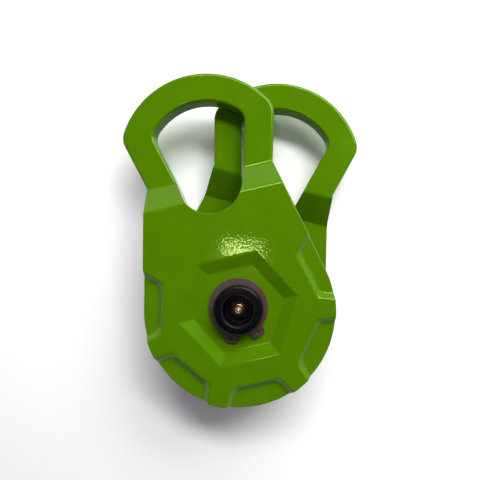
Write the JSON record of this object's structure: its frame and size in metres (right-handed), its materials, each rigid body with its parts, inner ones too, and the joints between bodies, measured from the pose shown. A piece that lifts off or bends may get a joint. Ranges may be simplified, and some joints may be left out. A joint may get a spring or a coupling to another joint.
{
  "type": "snatch block",
  "caption": "Snatch block with two swinging bent side plates, a grooved rope sheave on a greased pin, a retaining ring and shackle eyes.",
  "frame": {"origin": "centre of the sheave, on the pin's axis", "axes": "+Z along the pin's axis, out of its front end; +Y towards the shackle eyes, between the two swung plates; +X to the right as seen from the front"},
  "size_m": [0.175, 0.2402, 0.063],
  "materials": {
    "green_coating": "glossy powder coat",
    "sheave_iron": "turned and blackened",
    "bronze": "turned bearing bronze",
    "black_steel": "black oxide, polished",
    "phosphated_steel": "brown-grey phosphate",
    "yellow_brass": "turned, bright",
    "bright_steel": "polished"
  },
  "bodies": {
    "rear_frame": {"rear_side_plate": "green_coating", "center_pin": "black_steel", "retaining_ring": "phosphated_steel", "nipple_body": "yellow_brass", "nipple_spring": "bright_steel"},
    "front_plate": {"front_side_plate": "green_coating"},
    "sheave_wheel": {"sheave": "sheave_iron", "sheave_bush": "bronze"},
    "front_washer": {"front_thrust_washer": "bronze"},
    "rear_washer": {"rear_thrust_washer": "bronze"},
    "check_ball": {"nipple_ball": "bright_steel"}
  },
  "joints": [
    {"name": "front_plate_swing", "type": "hinge", "parent": "rear_frame", "child": "front_plate", "pos_m": [0, 0, 0], "axis": [0, 0, 1], "continuous": true},
    {"name": "sheave_spin", "type": "hinge", "parent": "rear_frame", "child": "sheave_wheel", "pos_m": [0, 0, 0], "axis": [0, 0, 1], "continuous": true},
    {"name": "front_washer_spin", "type": "hinge", "parent": "rear_frame", "child": "front_washer", "pos_m": [0, 0, 0], "axis": [0, 0, 1], "continuous": true},
    {"name": "rear_washer_spin", "type": "hinge", "parent": "rear_frame", "child": "rear_washer", "pos_m": [0, 0, 0], "axis": [0, 0, 1], "continuous": true},
    {"name": "check_ball_travel", "type": "slide", "parent": "rear_frame", "child": "check_ball", "axis": [0, 0, -1], "range_m": [0, 0.0008], "stiffness_N_per_m": 400, "springref_m": -0.0005, "deforming": ["nipple_spring"]}
  ]
}
